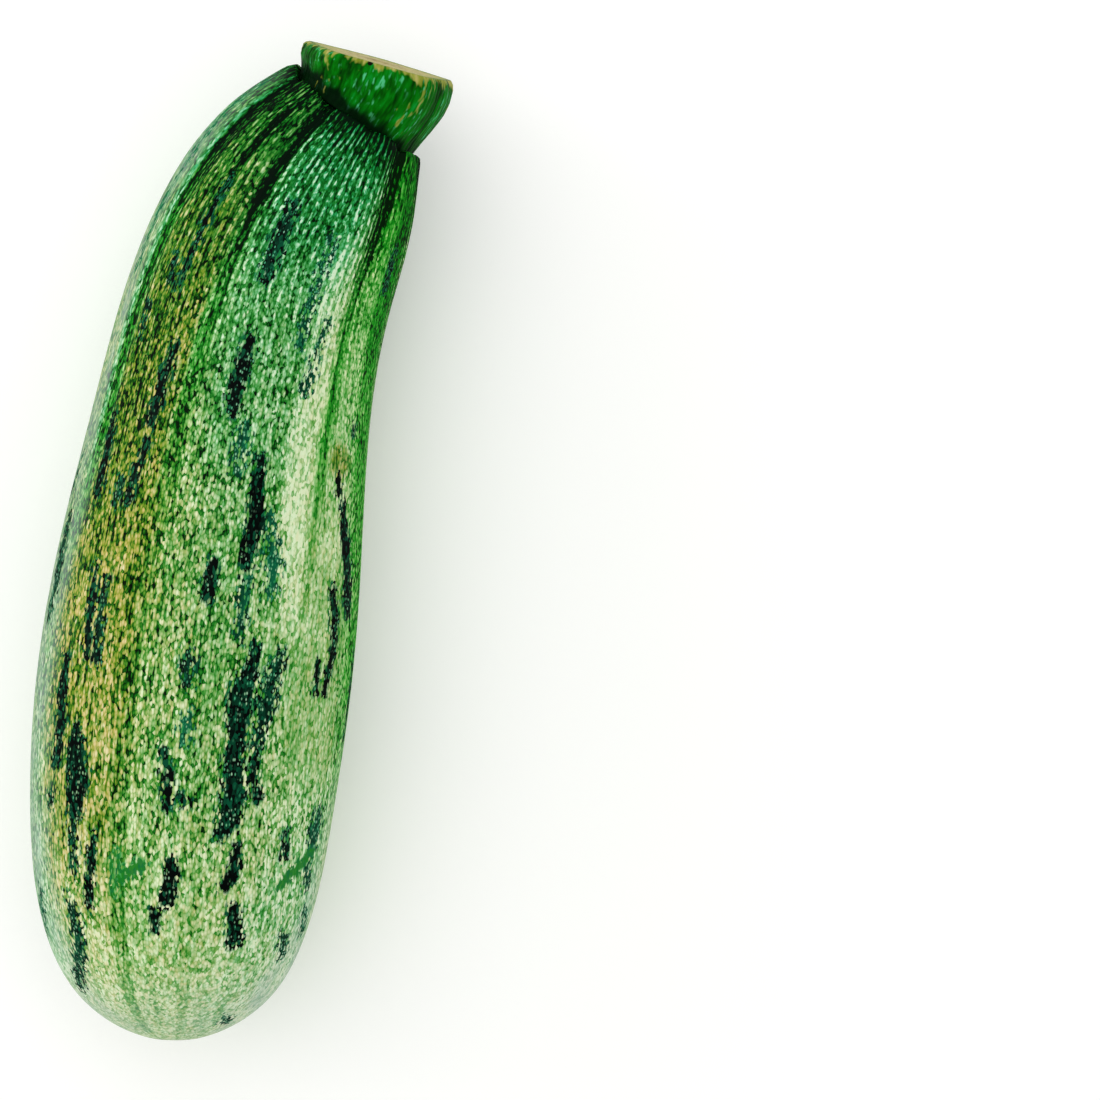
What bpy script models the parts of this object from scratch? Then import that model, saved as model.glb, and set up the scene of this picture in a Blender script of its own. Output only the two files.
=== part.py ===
"""A striped zucchini, picked with a stub of its stem and lying on its side.

Two pieces: the fruit, whose ten soft ribs gather at the neck, and the five-sided stem stub.
Units are metres. +Y runs from the blossom end to the stem, +Z is up, and the fruit lies on z = 0.
"""

import math

import bmesh
import bpy
import numpy as np

MM = 0.001

# Middle line of the fruit, blossom end first, as (x, y, z) in mm: it bows towards -X,
# sinks with the slimmer waist, and lifts and turns to +X at the neck. As in the outline below,
# the line runs close by these points, and the first and the last only steer its ends.
SPINE_MM = (
    (14.8, -125.7, 28.6),
    (10.2, -101.7, 29.0),
    (5.9, -77.7, 29.5),
    (2.2, -53.7, 30.0),
    (-0.6, -29.7, 30.1),
    (-2.7, -5.7, 29.0),
    (-4.0, 18.3, 27.5),
    (-4.4, 40.3, 26.6),
    (-2.0, 59.3, 26.8),
    (3.6, 76.8, 28.3),
    (10.4, 91.3, 30.5),
    (17.2, 105.8, 32.7),
)

# Half outline of the fruit about that line, as (distance along it, radius) in mm: the round
# blossom end, the belly, the waist, the shoulder, and the rim round the foot of the stem.
OUTLINE_MM = (
    (1.0, -6.0),
    (0.0, 0.0),
    (1.0, 6.0),
    (3.6, 12.4),
    (8.8, 19.3),
    (17.3, 25.0),
    (31.0, 29.0),
    (50.0, 30.4),
    (72.0, 31.0),
    (96.0, 30.3),
    (120.0, 28.5),
    (143.0, 27.0),
    (161.0, 25.5),
    (173.5, 23.7),
    (182.5, 20.8),
    (189.0, 17.6),
    (193.2, 15.7),
    (192.0, 14.8),
    (190.5, 14.8),
)
# Inside the rim: the foot of its wall, then the middle of the floor that the stem stands on.
SEAT_AT_MM = 191.0
SEAT_MM = ((SEAT_AT_MM, 14.7), (SEAT_AT_MM, 0.0))

# The grooves between the ten ribs: each one's angle to the right of the top, in degrees, and
# how deep it is against the deepest.
GROOVES = (
    (-156, 0.8),
    (-117, 0.6),
    (-84, 0.7),
    (-51, 0.9),
    (-12, 1.0),
    (24, 0.45),
    (54, 1.0),
    (93, 0.7),
    (129, 0.9),
    (168, 0.6),
)
GROOVE_HALF_WIDTH = math.radians(6.5)
GROOVE_DEPTH_NECK = 1.4 * MM
GROOVE_DEPTH_BODY = 0.18 * MM
GROOVE_FADE_FROM = 95.0 * MM
GROOVE_FADE_TO = 184.0 * MM

# Slow bumps of the skin, which fade out on the rounding of the blossom end.
SWELL = 0.4 * MM
SWELL_TURN_LENGTHS = (17.0 * MM, 29.0 * MM)
RELIEF_STARTS = 25.0 * MM

# The dent that the flower left in the blossom end: flat to this share of its radius.
SCAR_RADIUS = 6.5 * MM
SCAR_FLAT_SHARE = 0.4
SCAR_DEPTH = 0.8 * MM

# Skin within this height of the table runs smoothly into the flat that the fruit rests on.
REST_SOFTNESS = 0.25 * MM

STEM_GAP = 0.3 * MM
STEM_LENGTH = 12.3 * MM
# From its foot to the cut the stem turns back towards +Y and lifts.
STEM_TURN = math.radians(20.0)
STEM_LIFT = math.radians(4.0)
# Half outline of the stem, as (share of its length, radius in mm), from its foot to the cut.
STEM_OUTLINE_MM = ((0.0, 13.7), (0.2, 14.0), (0.6, 15.0), (0.9, 15.3), (1.0, 14.4))
# Five ridges, with the faces between them kept nearly flat by a wave of twice as many.
STEM_RIDGES = 5
STEM_FLATTENING = 0.3
STEM_RIDGE_ANGLE = math.radians(44.0)
# How far the ridges stand out, as a share of the radius, at the foot and at the cut.
STEM_RIDGE_SHARES = (0.02, 0.055)
# The dent of the pith in the cut face: flat to this share of its radius.
PITH_RADIUS = 3.2 * MM
PITH_FLAT_SHARE = 0.6
PITH_DEPTH = 0.7 * MM

SPINE_STEPS = 800
FRUIT_SIDES = 120
FRUIT_RINGS = 48
STEM_SIDES = 60
STEM_CUTS = 9
# Rings on the cut face, each this share of the radius inside the one before.
CUT_FACE_INSETS = (0.08, 0.66, 0.08, 0.08)

SKIN_COLOR = (0.22, 0.37, 0.136, 1.0)
SKIN_ROUGHNESS = 0.42
STEM_COLOR = (0.03, 0.17, 0.02, 1.0)
STEM_ROUGHNESS = 0.55
# Edges that bend more than this stay sharp when the pieces are shaded smooth.
FRUIT_SHARP_ANGLE = math.radians(60.0)
STEM_SHARP_ANGLE = math.radians(40.0)


def smooth_step(low, high, value):
    """0 below low, 1 above high, and an S curve between."""
    t = np.clip((value - low) / (high - low), 0.0, 1.0)
    return t * t * (3.0 - 2.0 * t)


def unit(vectors):
    return vectors / np.linalg.norm(vectors, axis=-1, keepdims=True)


def smooth_curve(points, steps):
    """That many points along the uniform cubic B-spline whose corners are the given points."""
    points = np.asarray(points, float)
    t = np.linspace(0, len(points) - 3, steps)
    i = np.clip(t.astype(int), 0, len(points) - 4)
    f = (t - i)[:, None]
    g = 1 - f
    a, b, c, d = (points[i + k] for k in range(4))
    return (g**3 * a + (3 * f**3 - 6 * f**2 + 4) * b + (3 * g**3 - 6 * g**2 + 4) * c + f**3 * d) / 6


def spine_frames(along):
    """Centre, direction, right and up of the middle line at these distances along it."""
    line = smooth_curve(SPINE_MM, SPINE_STEPS) * MM
    gone = np.r_[0.0, np.cumsum(np.linalg.norm(np.diff(line, axis=0), axis=1))]
    slope = unit(np.gradient(line, gone, axis=0))
    centre = np.stack([np.interp(along, gone, line[:, k]) for k in range(3)], axis=-1)
    ahead = unit(np.stack([np.interp(along, gone, slope[:, k]) for k in range(3)], axis=-1))
    right = unit(np.cross(ahead, (0.0, 0.0, 1.0)))
    return centre, ahead, right, np.cross(right, ahead)


def fruit_rings():
    """Distance along the line, radius and outward normal of each ring, and its share of relief."""
    outer = smooth_curve(OUTLINE_MM, FRUIT_RINGS + 1 - len(SEAT_MM))
    slope = unit(np.gradient(outer, axis=0))
    normal = np.stack([-slope[:, 1], slope[:, 0]], axis=1)
    relief = smooth_step(0.0, RELIEF_STARTS, outer[:, 0] * MM)
    places = np.vstack([outer, SEAT_MM]) * MM
    normal = np.vstack([normal, np.zeros((len(SEAT_MM), 2))])
    relief = np.r_[relief, np.zeros(len(SEAT_MM))]
    return places[:, 0], places[:, 1], normal, relief


def groove_depth(along, angle):
    """How far the grooves cut in: bell-shaped valleys, deep at the neck and faint on the body."""
    valleys = np.zeros_like(angle)
    for degrees, share in GROOVES:
        aside = (angle - math.radians(degrees) + math.pi) % (2 * math.pi) - math.pi
        valleys += share * np.exp(-((aside / GROOVE_HALF_WIDTH) ** 2))
    neck = smooth_step(GROOVE_FADE_FROM, GROOVE_FADE_TO, along) ** 2
    return valleys * (GROOVE_DEPTH_BODY + (GROOVE_DEPTH_NECK - GROOVE_DEPTH_BODY) * neck)


def swell_height(along, angle):
    """Slow bumps: two waves that go twice and three times round and drift along the fruit."""
    first, second = SWELL_TURN_LENGTHS
    return SWELL * (np.sin(2 * angle + along / first) + np.sin(3 * angle - along / second))


def fruit_surface(ring, angle):
    """Points of the fruit for these ring numbers and angles to the right of the top."""
    ring_along, ring_radius, ring_normal, ring_relief = fruit_rings()
    along, radius, normal = ring_along[ring], ring_radius[ring], ring_normal[ring]
    height = ring_relief[ring] * (swell_height(along, angle) - groove_depth(along, angle))
    blossom_end = along < SCAR_RADIUS
    scar = blossom_end * (1 - smooth_step(SCAR_FLAT_SHARE, 1.0, radius / SCAR_RADIUS))
    forward = normal[:, 0] * height + SCAR_DEPTH * scar
    outward = radius + normal[:, 1] * height
    centre, ahead, right, up = spine_frames(along)
    out = np.cos(angle)[:, None] * up + np.sin(angle)[:, None] * right
    return centre + forward[:, None] * ahead + outward[:, None] * out


def rest_on_table(points):
    """Flattens what would reach below the table to z = 0, with a short smooth run into it."""
    z, soft = points[:, 2], REST_SOFTNESS
    points[:, 2] = np.where(z < -soft, 0.0, np.where(z > soft, z, (z + soft) ** 2 / (4 * soft)))
    return points


def stem_surface(height, reach, angle):
    """Points of the stem for these shares of its length and radius, and angles from the top."""
    foot, ahead, right, up = (v[0] for v in spine_frames(np.array([SEAT_AT_MM * MM + STEM_GAP])))
    turn, lift = STEM_TURN * height[:, None], STEM_LIFT * height[:, None]
    level = ahead * np.cos(turn) - right * np.sin(turn)
    lean_right = right * np.cos(turn) + ahead * np.sin(turn)
    lean_ahead = level * np.cos(lift) + up * np.sin(lift)
    lean_up = up * np.cos(lift) - level * np.sin(lift)
    shares, radii = np.transpose(STEM_OUTLINE_MM)
    ridge = STEM_RIDGE_SHARES[0] + (STEM_RIDGE_SHARES[1] - STEM_RIDGE_SHARES[0]) * height
    around = STEM_RIDGES * (angle - STEM_RIDGE_ANGLE)
    lobes = 1 + ridge * (np.cos(around) + STEM_FLATTENING * np.cos(2 * around))
    outward = reach * np.interp(height, shares, radii) * MM * lobes
    on_cut = height > 0.99
    pith = on_cut * (1 - smooth_step(PITH_FLAT_SHARE, 1.0, outward / PITH_RADIUS))
    middle = foot + STEM_LENGTH * height[:, None] * unit(ahead + lean_ahead)
    middle = middle - PITH_DEPTH * pith[:, None] * lean_ahead
    out = np.cos(angle)[:, None] * lean_up + np.sin(angle)[:, None] * lean_right
    return middle + outward[:, None] * out


def paint(name, color, roughness):
    material = bpy.data.materials.new(name)
    material.use_nodes = True
    shader = material.node_tree.nodes["Principled BSDF"]
    shader.inputs["Base Color"].default_value = color
    shader.inputs["Roughness"].default_value = roughness
    shader.inputs["Metallic"].default_value = 0.0
    return material


def add_object(name, shape, points, material, collection, sharp_angle):
    """Makes one named object of a bmesh, with its vertices moved to the given points."""
    mesh = bpy.data.meshes.new(name)
    shape.to_mesh(mesh)
    shape.free()
    mesh.vertices.foreach_set("co", points.astype(np.float32).ravel())
    mesh.update()
    mesh.shade_smooth()
    mesh.set_sharp_from_angle(angle=sharp_angle)
    mesh.materials.append(material)
    collection.objects.link(bpy.data.objects.new(name, mesh))


def vertex_places(shape):
    """Height, distance from the Z axis and angle round it, of each vertex of a bmesh."""
    x, y, z = np.array([v.co[:] for v in shape.verts]).T
    return z, np.hypot(x, y), np.arctan2(y, x)


def add_fruit(collection):
    """A sphere whose rings take the outline's places, with each groove on a line of corners."""
    ball = bmesh.new()
    bmesh.ops.create_uvsphere(ball, u_segments=FRUIT_SIDES, v_segments=FRUIT_RINGS, radius=1.0)
    height, _, angle = vertex_places(ball)
    ring = np.round(FRUIT_RINGS * np.arccos(np.clip(-height, -1.0, 1.0)) / math.pi).astype(int)
    points = rest_on_table(fruit_surface(ring, angle))
    skin = paint("zucchini_skin", SKIN_COLOR, SKIN_ROUGHNESS)
    add_object("fruit", ball, points, skin, collection, FRUIT_SHARP_ANGLE)


def add_stem(collection):
    """A cylinder with rings cut into its side and its upper end, carried up from the seat."""
    drum = bmesh.new()
    bmesh.ops.create_cone(
        drum, cap_ends=True, segments=STEM_SIDES, radius1=1.0, radius2=1.0, depth=2.0
    )
    sides = [edge for edge in drum.edges if edge.calc_length() > 1.0]
    bmesh.ops.subdivide_edges(drum, edges=sides, cuts=STEM_CUTS, use_grid_fill=True)
    cut_face = [face for face in drum.faces if face.calc_center_median().z > 0.999]
    for share in CUT_FACE_INSETS:
        bmesh.ops.inset_region(drum, faces=cut_face, thickness=share)
    height, reach, angle = vertex_places(drum)
    points = stem_surface((height + 1) / 2, reach, angle)
    rind = paint("cut_stem", STEM_COLOR, STEM_ROUGHNESS)
    add_object("stem", drum, points, rind, collection, STEM_SHARP_ANGLE)


def main():
    for old in list(bpy.data.objects):
        bpy.data.objects.remove(old)
    collection = bpy.data.collections.new("zucchini")
    bpy.context.scene.collection.children.link(collection)
    add_fruit(collection)
    add_stem(collection)


main()
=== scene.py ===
"""Looks of a striped zucchini with a cut stub of stem, lying on its side.

Two grown surfaces take the places of the two solids: the fruit, whose skin is drawn in
millimetres along the fruit and degrees round it, and the fibrous stem with its dried cut.
Lengths in the tables are millimetres, and angles are degrees to the right of the top, as seen
from the blossom end. Meshes are in metres, +Y from the blossom end to the stem, +Z up.
"""

import math

import bpy
import numpy as np
from mathutils import Euler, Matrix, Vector


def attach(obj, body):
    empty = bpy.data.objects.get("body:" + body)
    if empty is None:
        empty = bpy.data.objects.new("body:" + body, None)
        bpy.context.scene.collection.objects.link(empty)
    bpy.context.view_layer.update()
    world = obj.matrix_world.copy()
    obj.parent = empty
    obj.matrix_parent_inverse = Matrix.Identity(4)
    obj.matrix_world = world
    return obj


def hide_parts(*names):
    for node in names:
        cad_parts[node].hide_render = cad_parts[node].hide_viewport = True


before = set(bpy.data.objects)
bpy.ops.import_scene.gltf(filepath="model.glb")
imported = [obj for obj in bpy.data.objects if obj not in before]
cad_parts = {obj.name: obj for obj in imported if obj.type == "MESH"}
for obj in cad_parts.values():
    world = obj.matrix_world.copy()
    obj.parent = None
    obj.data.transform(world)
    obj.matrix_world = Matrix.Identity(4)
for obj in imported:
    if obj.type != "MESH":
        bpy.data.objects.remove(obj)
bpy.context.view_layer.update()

MM = 0.001

# The fruit's form, as the solid has it

# Middle line of the fruit, blossom end first, as (x, y, z): it bows towards -X, sinks with the
# slimmer waist, and lifts and turns to +X at the neck. The first and last points only steer.
SPINE = (
    (14.8, -125.7, 28.6), (10.2, -101.7, 29.0), (5.9, -77.7, 29.5), (2.2, -53.7, 30.0),
    (-0.6, -29.7, 30.1), (-2.7, -5.7, 29.0), (-4.0, 18.3, 27.5), (-4.4, 40.3, 26.6),
    (-2.0, 59.3, 26.8), (3.6, 76.8, 28.3), (10.4, 91.3, 30.5), (17.2, 105.8, 32.7),
)
# Half outline about that line, as (distance along it, radius): the round blossom end, the belly,
# the waist, the shoulder and the rim. The last two points turn the skin in against the stem,
# and the seat under the stem closes it.
OUTLINE = (
    (1.0, -6.0), (0.0, 0.0), (1.0, 6.0), (3.6, 12.4), (8.8, 19.3), (17.3, 25.0), (31.0, 29.0),
    (50.0, 30.4), (72.0, 31.0), (96.0, 30.3), (120.0, 28.5), (143.0, 27.0), (161.0, 25.5),
    (173.5, 23.7), (182.5, 20.8), (189.0, 17.6), (193.2, 15.7), (192.2, 14.6), (190.9, 14.2),
)
SEAT = ((191.1, 14.15), (191.0, 13.9), (191.0, 7.0), (191.0, 0.0))
# Patterns that follow the fruit are round with this radius from this place on.
BELLY_AT = 60.0
BELLY_RADIUS = 30.0
# The grooves between the ten ribs: angle, and depth against the deepest.
GROOVES = (
    (-156, 0.8), (-117, 0.6), (-84, 0.7), (-51, 0.9), (-12, 1.0),
    (24, 0.45), (54, 1.0), (93, 0.7), (129, 0.9), (168, 0.6),
)
GROOVE_HALF_WIDTH = 6.5
GROOVE_DEPTH_NECK = 1.4
GROOVE_DEPTH_BODY = 0.18
GROOVE_FADE = (95.0, 184.0)
SWELL = 0.4
SWELL_TURN_LENGTHS = (17.0, 29.0)
RELIEF_STARTS = 25.0
SCAR_RADIUS = 6.5
SCAR_FLAT_SHARE = 0.4
SCAR_DEPTH = 0.8
REST_SOFTNESS = 0.25
SPINE_STEPS = 800
OUTLINE_STEPS = 4000

# Fine relief that the solid leaves out: threads of skin that gather at the neck, and dimples.
THREADS = 100
THREAD_DEPTH = 0.10
THREAD_FADE = (125.0, 178.0)
DIMPLE_DEPTH = 0.05

FRUIT_SIDES = 480
FRUIT_ROWS = 200

# The stem's form, as the solid has it

STEM_FOOT_AT = 191.3
STEM_LENGTH = 12.3
STEM_TURN = math.radians(20.0)
STEM_LIFT = math.radians(4.0)
# (share of its length, radius)
STEM_OUTLINE = ((0.0, 13.7), (0.2, 14.0), (0.6, 15.3), (0.75, 15.5), (0.9, 15.3), (0.96, 14.9), (1.0, 14.2))
STEM_RIDGES = 5
STEM_FLATTENING = 0.3
STEM_RIDGE_ANGLE = math.radians(44.0)
STEM_RIDGE_SHARES = (0.02, 0.055)
PITH_RADIUS = 3.2
PITH_FLAT_SHARE = 0.6
PITH_DEPTH = 0.7
FIBRES = 64
FIBRE_DEPTH = 0.12
CUT_ROUGHNESS = 0.18
# The stem straightened out, for patterns that follow it, is round with this radius.
STEM_RADIUS = 14.0
# A dark speck on the edge of the cut, as a place on the straightened stem.
STEM_SPECK = (0.4, 14.0, 12.1)
STEM_SIDES = 320
STEM_SIDE_ROWS = 90
STEM_CUT_ROWS = 60

# The skin's bands
# Each band is (channel, rows). A row is (mm along, degrees, half width in degrees, value, share):
# round that place the channel is painted to that value, as strongly as the share says, fully where
# none is given. Channels: pigment, from 0, cream, to 1, blue-black, and above 1 where flecks shall
# not lighten it; golden, teal and vivid, from 0 to 1, tint the greens; the painted sheen, a greyish
# film over the greens, stands for the white surround reflected in the skin; speckle is how strongly
# flecks stand out; neck is how much of the neck's own look there is.
# Across, a band fades between these shares of its half width, and past its ends in so many mm.
BAND_EDGE = (0.55, 1.35)
BAND_RUN_OUT = 12.0
# Pigment all round, under the bands, by mm along. From 187 mm on it nears and passes blue-black: painted
# shade in the crease under the stem.
PIGMENT_ALONG = (
    (0, 0.17), (12, 0.18), (25, 0.27), (45, 0.36), (80, 0.43), (120, 0.49), (140, 0.54),
    (160, 0.60), (172, 0.62), (180, 0.66), (187, 0.80), (190, 1.1), (193, 1.2),
)
# Painted shade: the grooves darken towards the stem, all round, as they cut deeper, and the neck's own look
# comes in above the waist.
GROOVE_SHADE = 0.45
GROOVE_SHADE_FADE = (135.0, 185.0)
NECK_FADE = (100.0, 178.0)
# A painted sheen lies over the blossom end, standing for the white surround reflected there.
SHEEN_FADE = (2.0, 22.0)
# How strongly flecks stand out from their band, by mm along.
SPECKLE_ALONG = ((0, 0.5), (12, 0.6), (30, 0.75), (45, 0.95), (125, 1.0), (160, 0.7), (193, 0.55))
BANDS = (
    # Rows at 188 mm and more, where the pigment nears or passes 1, are painted shade in the crease under the
    # stem.
    # The olive flank between the first and second groove, dark at the neck.
    ("pigment", ((188, -32, 20, 0.85), (174, -32, 19, 0.69), (160, -31, 19, 0.62), (145, -31, 19, 0.6),
                 (125, -31, 19, 0.61), (105, -34, 20, 0.53), (85, -38, 20, 0.46), (65, -38, 19, 0.43),
                 (45, -40, 18, 0.41, 0.5))),
    ("pigment", ((166, -21, 7, 0.58, 0.7), (145, -21, 7, 0.54, 0.8), (120, -22, 7, 0.55, 0.7),
                 (100, -25, 8, 0.47, 0.7), (75, -26, 9, 0.38, 0.7), (55, -27, 9, 0.36, 0.6))),
    ("pigment", ((140, -43, 6, 0.67, 0.5), (120, -42, 7, 0.66, 0.6), (105, -43, 8, 0.6, 0.6),
                 (90, -46, 8, 0.5, 0.4))),
    ("golden", ((188, -30, 19, 0.1), (178, -30, 19, 0.3), (160, -30, 19, 0.8), (140, -30, 19, 0.95),
                (120, -32, 20, 1), (100, -34, 22, 1.1), (85, -35, 23, 1.1), (65, -35, 22, 1),
                (50, -35, 21, 0.95), (30, -34, 19, 0.65, 0.8), (15, -30, 19, 0.4, 0.6))),
    ("neck", ((190, -30, 19, 0.85), (130, -31, 19, 0.35))),
    # The pale side beyond the first groove: softer flecks, and a greyish painted sheen with a breath of
    # teal, standing for the white surround reflected where the skin turns away, thinner towards the
    # underside and gone at the rim. The painted sheen also lies low on the right side, by the blossom end.
    ("pigment", ((170, -118, 44, 0.46, 0.7), (110, -118, 44, 0.4, 0.8), (40, -112, 44, 0.32, 0.8))),
    ("pigment", ((192, -80, 30, 1), (184, -77, 28, 0.7), (174, -75, 24, 0.57), (162, -73, 20, 0.51),
                 (145, -73, 18, 0.44), (110, -78, 20, 0.51), (80, -80, 20, 0.47), (50, -78, 20, 0.44),
                 (28, -78, 22, 0.44))),
    ("painted_sheen", ((180, -108, 48, 0.12), (110, -108, 50, 0.3), (20, -104, 50, 0.34), (4, -100, 60, 0.4))),
    ("painted_sheen", ((192, -75, 20, 0), (187, -75, 20, 0.1), (176, -74, 19, 0.26), (160, -73, 18, 0.34),
               (140, -74, 20, 0.4), (110, -77, 22, 0.36), (60, -77, 22, 0.36), (25, -76, 26, 0.36),
               (8, -70, 36, 0.42))),
    ("painted_sheen", ((70, 88, 8, 0), (45, 86, 12, 0.2), (28, 84, 18, 0.38), (8, 76, 34, 0.5))),
    ("speckle", ((190, -74, 20, 0.8), (150, -75, 20, 0.8), (100, -80, 28, 1), (30, -80, 28, 1))),
    ("neck", ((192, -80, 30, 0.7), (172, -78, 26, 0.3), (145, -76, 22, 0.1), (110, -76, 20, 0))),
    ("golden", ((186, -66, 12, 0.3), (150, -70, 15, 0.6), (90, -78, 18, 0.45), (40, -78, 18, 0.3))),
    ("teal", ((120, -76, 20, 0.25), (20, -76, 22, 0.4))),
    ("teal", ((190, -72, 18, 0.6), (165, -73, 18, 0.3), (140, -73, 18, 0.2))),
    # The teal middle of the neck and its mottled run down the body.
    ("teal", ((192, 20, 33, 0.9), (165, 18, 28, 0.75), (150, 16, 25, 0.5), (130, 14, 22, 0.4),
              (105, 20, 20, 0.35), (70, 26, 20, 0.25), (30, 20, 25, 0.1))),
    ("teal", ((50, 62, 14, 0.35), (30, 55, 25, 0.55), (8, 52, 36, 0.42))),
    ("golden", ((192, 20, 33, 0), (150, 16, 25, 0.05), (120, 14, 20, 0.12))),
    ("pigment", ((192, 20, 33, 1.15), (189, 20, 32, 0.86), (185, 20, 31, 0.67), (180, 19, 30, 0.6),
                 (174, 18, 29, 0.59), (165, 17, 27, 0.59), (154, 16, 24, 0.48), (142, 15, 18, 0.46, 0.7))),
    # The cream stripe right of the top.
    ("pigment", ((180, 38, 8, 0.52, 0.5), (170, 38, 9, 0.34, 0.9), (160, 39, 9.5, 0.2), (140, 40, 8, 0.14),
                 (120, 38, 8.5, 0.13), (105, 38, 7, 0.1), (90, 40, 6, 0.13, 0.9), (80, 42, 5, 0.24, 0.5))),
    # The yellow-green band beyond the third groove, and the bright green one beyond that.
    ("pigment", ((188, 65, 8, 0.68), (172, 63, 8, 0.58), (160, 60, 8, 0.44), (140, 60, 9, 0.34),
                 (120, 60, 9, 0.28), (100, 56, 8, 0.29), (85, 54, 10, 0.3), (65, 55, 14, 0.31),
                 (50, 56, 16, 0.26, 0.9), (30, 54, 24, 0.22, 0.7), (12, 50, 32, 0.14, 0.8))),
    ("vivid", ((188, 66, 12, 1), (172, 64, 11, 1), (160, 61, 9, 0.8), (120, 58, 12, 0.4), (90, 56, 14, 0.3),
               (60, 60, 18, 0.3), (30, 60, 18, 0.15))),
    ("pigment", ((188, 76, 9, 0.8), (160, 77, 8, 0.76), (130, 77, 8, 0.66), (110, 79, 7, 0.62),
                 (95, 81, 6, 0.6), (75, 82, 6.5, 0.56), (60, 83, 6, 0.5, 0.8), (48, 84, 6, 0.42, 0.4))),
    ("vivid", ((188, 78, 12, 1), (130, 79, 13, 1.1), (75, 83, 11, 1.1), (55, 84, 8, 0.6, 0.8))),
    ("neck", ((192, 76, 15, 0.5), (180, 76, 15, 0.35), (120, 76, 15, 0.1))),
    ("golden", ((190, 74, 16, 0), (120, 78, 10, 0), (50, 82, 10, 0))),
    ("golden", ((110, 56, 12, 0.3), (60, 58, 16, 0.3))),
    ("speckle", ((160, 42, 12, 0.62), (110, 50, 19, 0.58), (60, 58, 16, 0.58))),
    # The dark second groove, which runs out as a green line down the whole fruit, with two thin
    # lines beside it on the belly. Its black at the neck is painted shade of the deep groove.
    ("pigment", ((192, -11, 4.4, 1.3), (184, -11, 2.9, 1.3), (168, -10.5, 2.3, 1.25), (160, -9, 2.4, 1),
                 (148, -8.5, 2.4, 0.82), (130, -11, 2.4, 0.72, 0.95), (110, -13, 2.6, 0.63, 0.8),
                 (90, -15.5, 3, 0.55, 0.7), (60, -16, 3.4, 0.5, 0.6), (35, -16.5, 3.6, 0.47, 0.6),
                 (12, -17, 3.2, 0.44, 0.7), (4, -17, 3.2, 0.36, 0.6))),
    ("pigment", ((84, -14, 1.1, 0.66, 0.5), (60, -14.5, 1.2, 0.66, 0.8), (34, -15, 1.2, 0.64, 0.8),
                 (18, -15, 1.3, 0.52, 0.7), (6, -15, 1.3, 0.46, 0.6))),
    ("pigment", ((76, -17.5, 1, 0.62, 0.5), (56, -18, 1.1, 0.64, 0.8), (30, -18.5, 1.1, 0.58, 0.7),
                 (10, -19, 1.2, 0.46, 0.6))),
    ("vivid", ((160, -9, 4, 0.3), (130, -11, 4, 0.7), (100, -14, 5, 0.5, 0.8), (12, -17, 5, 0.3, 0.6))),
    ("golden", ((160, -9, 3.5, 0.1), (130, -11, 3.5, 0.2, 0.9), (110, -13, 4, 0.5, 0.4))),
    ("speckle", ((110, -35, 20, 0.9), (60, -36, 20, 0.8), (35, -36, 18, 0.75, 0.8))),
    # The first groove, at the turn of the left flank, and the dark threads between the two. The
    # groove's black at the neck is painted shade of the deep groove.
    ("pigment", ((192, -51, 4.6, 1.3), (175, -51, 3.2, 1.2), (160, -51, 2.6, 0.95), (140, -51, 2.4, 0.84),
                 (120, -52, 2.4, 0.76, 0.9), (100, -56, 3, 0.68, 0.7), (80, -60, 3, 0.55, 0.5))),
    ("vivid", ((165, -50, 3.5, 0.8), (120, -51, 3.5, 0.8), (100, -56, 3.5, 0.6, 0.7))),
    ("golden", ((192, -52, 4.5, 0.1), (120, -51, 3.5, 0.1), (100, -56, 3.5, 0.2, 0.7))),
    ("pigment", ((192, -44, 7, 1.2), (180, -45, 5, 1.05), (170, -46, 4, 0.95), (160, -47, 3, 0.78, 0.8))),
    ("pigment", ((192, -28, 3.2, 1.2), (178, -28, 2.4, 1.05), (166, -28, 1.9, 0.95),
                 (148, -28, 1.6, 0.85, 0.7))),
    # A thin teal line along the outer side of the first groove, a painted highlight on the edge of
    # the rib, without painted sheen or threads, and a darker teal one beyond it.
    ("pigment", ((192, -56, 1.3, 0.8), (184, -56, 1.2, 0.5), (168, -55.5, 1.1, 0.42),
                 (140, -55.5, 1.1, 0.42), (118, -56.5, 1.1, 0.42, 0.8))),
    ("teal", ((188, -56, 2, 1), (118, -56.5, 2, 0.9))),
    ("painted_sheen", ((190, -51.5, 5.5, 0), (118, -53, 5, 0))),
    ("neck", ((188, -56, 2.5, 0, 0.8), (118, -56.5, 2.5, 0, 0.8))),
    ("pigment", ((188, -70, 4, 0.8, 0.8), (172, -66, 2.2, 0.7, 0.8), (156, -64, 1.6, 0.62, 0.7))),
    ("teal", ((188, -70, 5, 1), (172, -66, 4, 1), (156, -64, 3, 0.9, 0.8))),
    # The third groove, green where it runs out beside the cream stripe; its black at the neck is
    # painted shade of the deep groove.
    ("pigment", ((192, 57, 3.6, 1.25), (182, 57, 2.4, 1.15), (172, 56, 1.9, 1), (160, 54, 2, 0.78, 0.9),
                 (148, 52, 2.1, 0.69), (132, 50, 2.1, 0.66), (118, 48, 2, 0.6, 0.9),
                 (106, 47, 1.8, 0.54, 0.6))),
    ("vivid", ((164, 55, 4, 0.6), (148, 52, 4, 0.95), (118, 48, 4, 0.9), (106, 47, 3, 0.6, 0.7))),
    # Faint green lines down the middle of the belly.
    ("pigment", ((95, 12, 4, 0.6, 0.4), (75, 12, 5, 0.62, 0.5), (55, 12, 5, 0.58, 0.4),
                 (30, 11, 4, 0.46, 0.5), (6, 11, 3, 0.4, 0.6))),
    ("pigment", ((40, 30, 2.5, 0.44, 0.4), (8, 34, 2.5, 0.36, 0.4))),
    ("pigment", ((36, -4, 2, 0.46, 0.4), (8, -4, 2, 0.38, 0.5))),
)

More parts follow.
